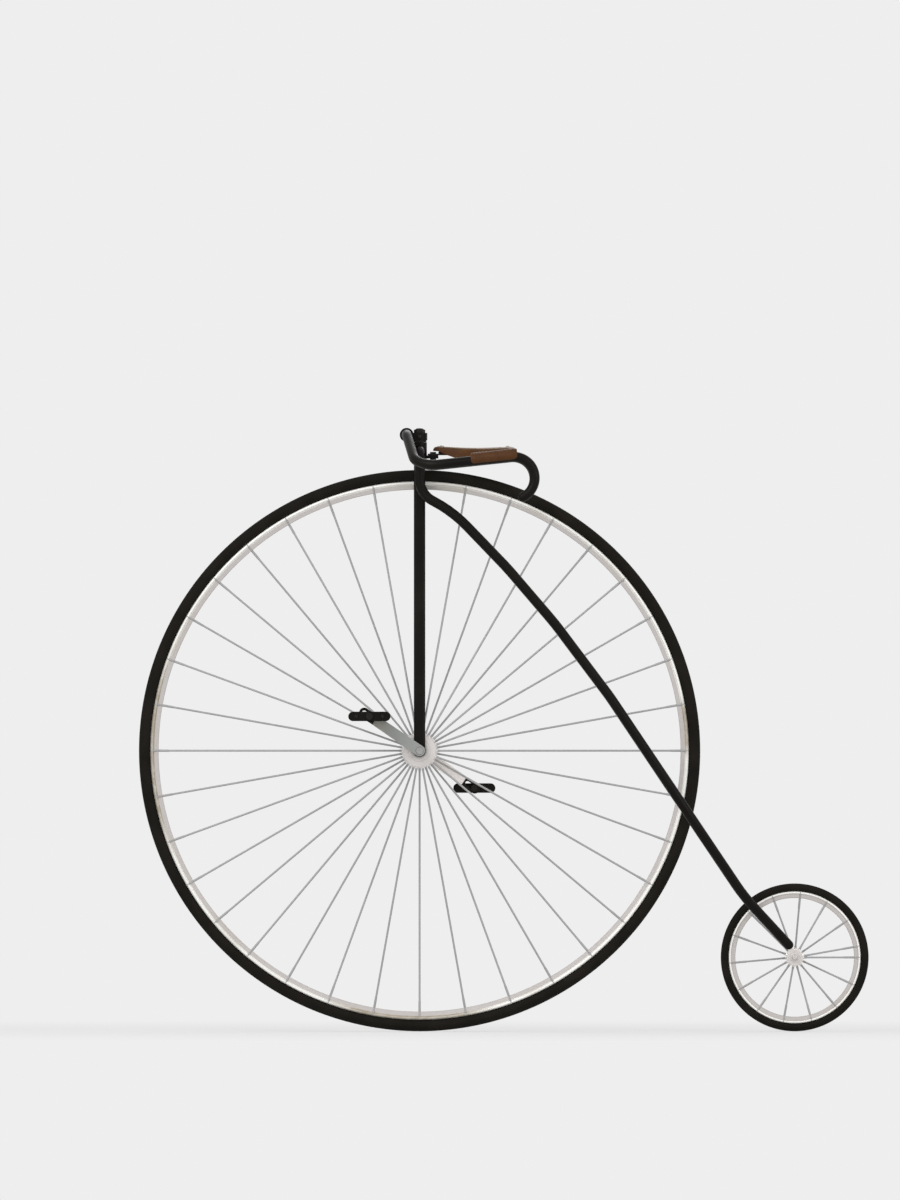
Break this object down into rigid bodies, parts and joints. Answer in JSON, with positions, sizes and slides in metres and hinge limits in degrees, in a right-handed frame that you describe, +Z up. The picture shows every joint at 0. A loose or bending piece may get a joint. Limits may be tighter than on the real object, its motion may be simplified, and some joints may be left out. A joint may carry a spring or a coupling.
{
  "type": "penny farthing bicycle",
  "caption": "High-wheel bicycle with a large cranked front wheel, a small rear wheel, a curved twin-tube backbone, a swept-back handlebar and a sprung leather saddle.",
  "frame": {"origin": "the rider's mount: the middle of the saddle's top, above the front wheel", "axes": "+X rearwards along the machine, towards the small wheel; +Y to the rider's right; +Z up"},
  "size_m": [1.7833, 0.556, 1.4748],
  "materials": {
    "black_enamel": "stoved black enamel, slightly glossy",
    "black_steel": "blackened steel, satin",
    "nickel": "satin nickel plate",
    "grey_steel": "drawn steel, dull",
    "tyre_rubber": "solid black rubber, matte",
    "pedal_rubber": "black rubber, matte",
    "brown_leather": "waxed saddle leather"
  },
  "bodies": {
    "frame": {"head_tube": "black_enamel", "backbone_left": "black_enamel", "backbone_right": "black_enamel", "backbone_bridge": "black_enamel", "rear_lug_left": "nickel", "rear_lug_right": "nickel", "rear_axle": "nickel", "rear_axle_nuts": "nickel", "saddle_leather": "brown_leather", "saddle_pan": "black_steel", "saddle_spring": "black_steel", "saddle_bolt": "black_steel"},
    "fork": {"fork_crown": "black_enamel", "steerer": "black_steel", "crown_race": "black_steel", "top_cone": "black_steel", "lock_nut": "black_steel", "fork_blade_left": "black_enamel", "fork_blade_right": "black_enamel", "fork_end_left": "black_enamel", "fork_end_right": "black_enamel", "handlebar_lug": "black_enamel", "handlebar_left": "black_enamel", "handlebar_right": "black_enamel", "grip_left": "brown_leather", "grip_right": "brown_leather"},
    "front_wheel": {"front_tyre": "tyre_rubber", "front_rim": "nickel", "front_spoked_hub": "nickel", "front_axle": "grey_steel", "crank_left": "grey_steel", "crank_right": "nickel", "pedal_pin_left": "black_steel", "pedal_pin_right": "black_steel"},
    "pedal_left": {"pedal_frame_left": "black_enamel", "pedal_rubbers_left": "pedal_rubber"},
    "pedal_right": {"pedal_frame_right": "black_enamel", "pedal_rubbers_right": "pedal_rubber"},
    "rear_wheel": {"rear_tyre": "tyre_rubber", "rear_rim": "nickel", "rear_spoked_hub": "nickel"}
  },
  "joints": [
    {"name": "steering", "type": "hinge", "parent": "frame", "child": "fork", "pos_m": [-0.14, 0, -0.0077], "axis": [0, 0, 1], "range_deg": [-12, 12]},
    {"name": "front_wheel_spin", "type": "hinge", "parent": "fork", "child": "front_wheel", "pos_m": [-0.14, 0, -0.741], "axis": [0, -1, 0], "continuous": true},
    {"name": "pedal_left_spin", "type": "hinge", "parent": "front_wheel", "child": "pedal_left", "pos_m": [-0.26238, -0.135, -0.65689], "axis": [0, -1, 0], "continuous": true},
    {"name": "pedal_right_spin", "type": "hinge", "parent": "front_wheel", "child": "pedal_right", "pos_m": [-0.00608, 0.135, -0.83304], "axis": [0, -1, 0], "continuous": true},
    {"name": "rear_wheel_spin", "type": "hinge", "parent": "frame", "child": "rear_wheel", "pos_m": [0.7768, 0, -1.24625], "axis": [0, -1, 0], "continuous": true}
  ]
}
